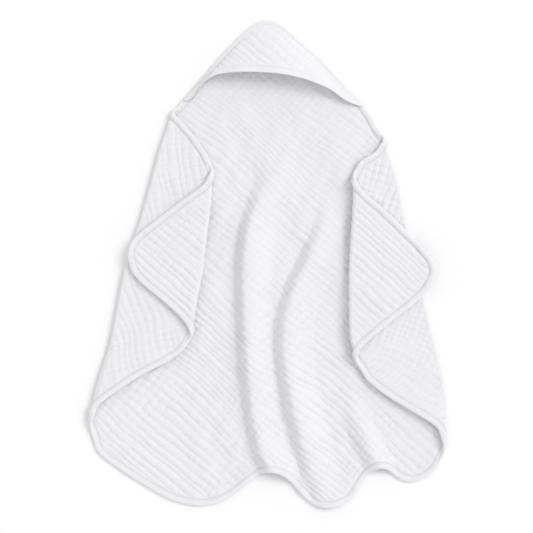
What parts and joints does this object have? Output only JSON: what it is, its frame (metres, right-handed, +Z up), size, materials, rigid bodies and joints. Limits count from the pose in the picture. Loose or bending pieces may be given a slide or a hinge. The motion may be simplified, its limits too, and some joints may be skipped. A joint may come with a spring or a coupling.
{
  "type": "hooded baby towel",
  "caption": "Square muslin baby towel lying open on its diagonal, with a triangular hood over the top corner, a bias-bound edge and both side corners folded in.",
  "frame": {"origin": "middle of the rectangle that the towel covers, on the surface it lies on", "axes": "+Z up out of the surface, +Y from the lower hem to the hood's peak, +X to the right seen from above"},
  "size_m": [0.7626, 1.0424, 0.0525],
  "materials": {
    "muslin_front": "white six-layer cotton muslin, crinkled into fine ribs and a waffle",
    "muslin_back": "white six-layer cotton muslin, back face",
    "hood_hem_cloth": "white cotton, turned and stitched smooth",
    "bias_binding": "white cotton bias strip, puffed between its stitches",
    "sewing_thread": "white polyester-cotton sewing thread"
  },
  "bodies": {
    "towel": {"main_panel": "muslin_front", "hem_binding": "bias_binding", "hem_stitching": "sewing_thread", "peak_binding": "bias_binding", "peak_stitching": "sewing_thread"},
    "hood": {"hood_panel": "muslin_front", "hood_hem": "hood_hem_cloth", "hood_hem_stitching": "sewing_thread"},
    "left_flap": {"left_flap_panel": "muslin_back", "left_flap_upper_binding": "bias_binding", "left_flap_upper_stitching": "sewing_thread", "left_flap_lower_binding": "bias_binding", "left_flap_lower_stitching": "sewing_thread"},
    "left_corner": {"left_corner_panel": "muslin_front", "left_corner_binding": "bias_binding", "left_corner_stitching": "sewing_thread"},
    "right_flap": {"right_flap_panel": "muslin_back", "right_flap_upper_binding": "bias_binding", "right_flap_upper_stitching": "sewing_thread", "right_flap_lower_binding": "bias_binding", "right_flap_lower_stitching": "sewing_thread"},
    "right_corner": {"right_corner_panel": "muslin_front", "right_corner_binding": "bias_binding", "right_corner_stitching": "sewing_thread"}
  },
  "joints": [
    {"name": "hood_lift", "type": "hinge", "parent": "towel", "child": "hood", "pos_m": [-0.005, 0.5095, 0.0085], "axis": [-1, 0, 0], "range_deg": [0, 30]},
    {"name": "left_flap_unfold", "type": "hinge", "parent": "towel", "child": "left_flap", "pos_m": [-0.20659, 0.32399, 0.007], "axis": [-0.256, -0.9667, 0], "range_deg": [0, 165]},
    {"name": "left_corner_unfold", "type": "hinge", "parent": "left_flap", "child": "left_corner", "pos_m": [-0.16474, -0.1505, 0.018], "axis": [0.1198, 0.9928, 0], "range_deg": [0, 175]},
    {"name": "right_flap_unfold", "type": "hinge", "parent": "towel", "child": "right_flap", "pos_m": [0.38285, -0.36557, 0.007], "axis": [-0.2213, 0.9752, 0], "range_deg": [0, 165]},
    {"name": "right_corner_unfold", "type": "hinge", "parent": "right_flap", "child": "right_corner", "pos_m": [0.17933, 0.2055, 0.018], "axis": [0.0047, -1, 0], "range_deg": [0, 175]}
  ],
  "couplings": [
    {"joint": "left_corner_unfold", "follows": "left_flap_unfold", "ratio": 1.06},
    {"joint": "right_corner_unfold", "follows": "right_flap_unfold", "ratio": 1.06}
  ]
}
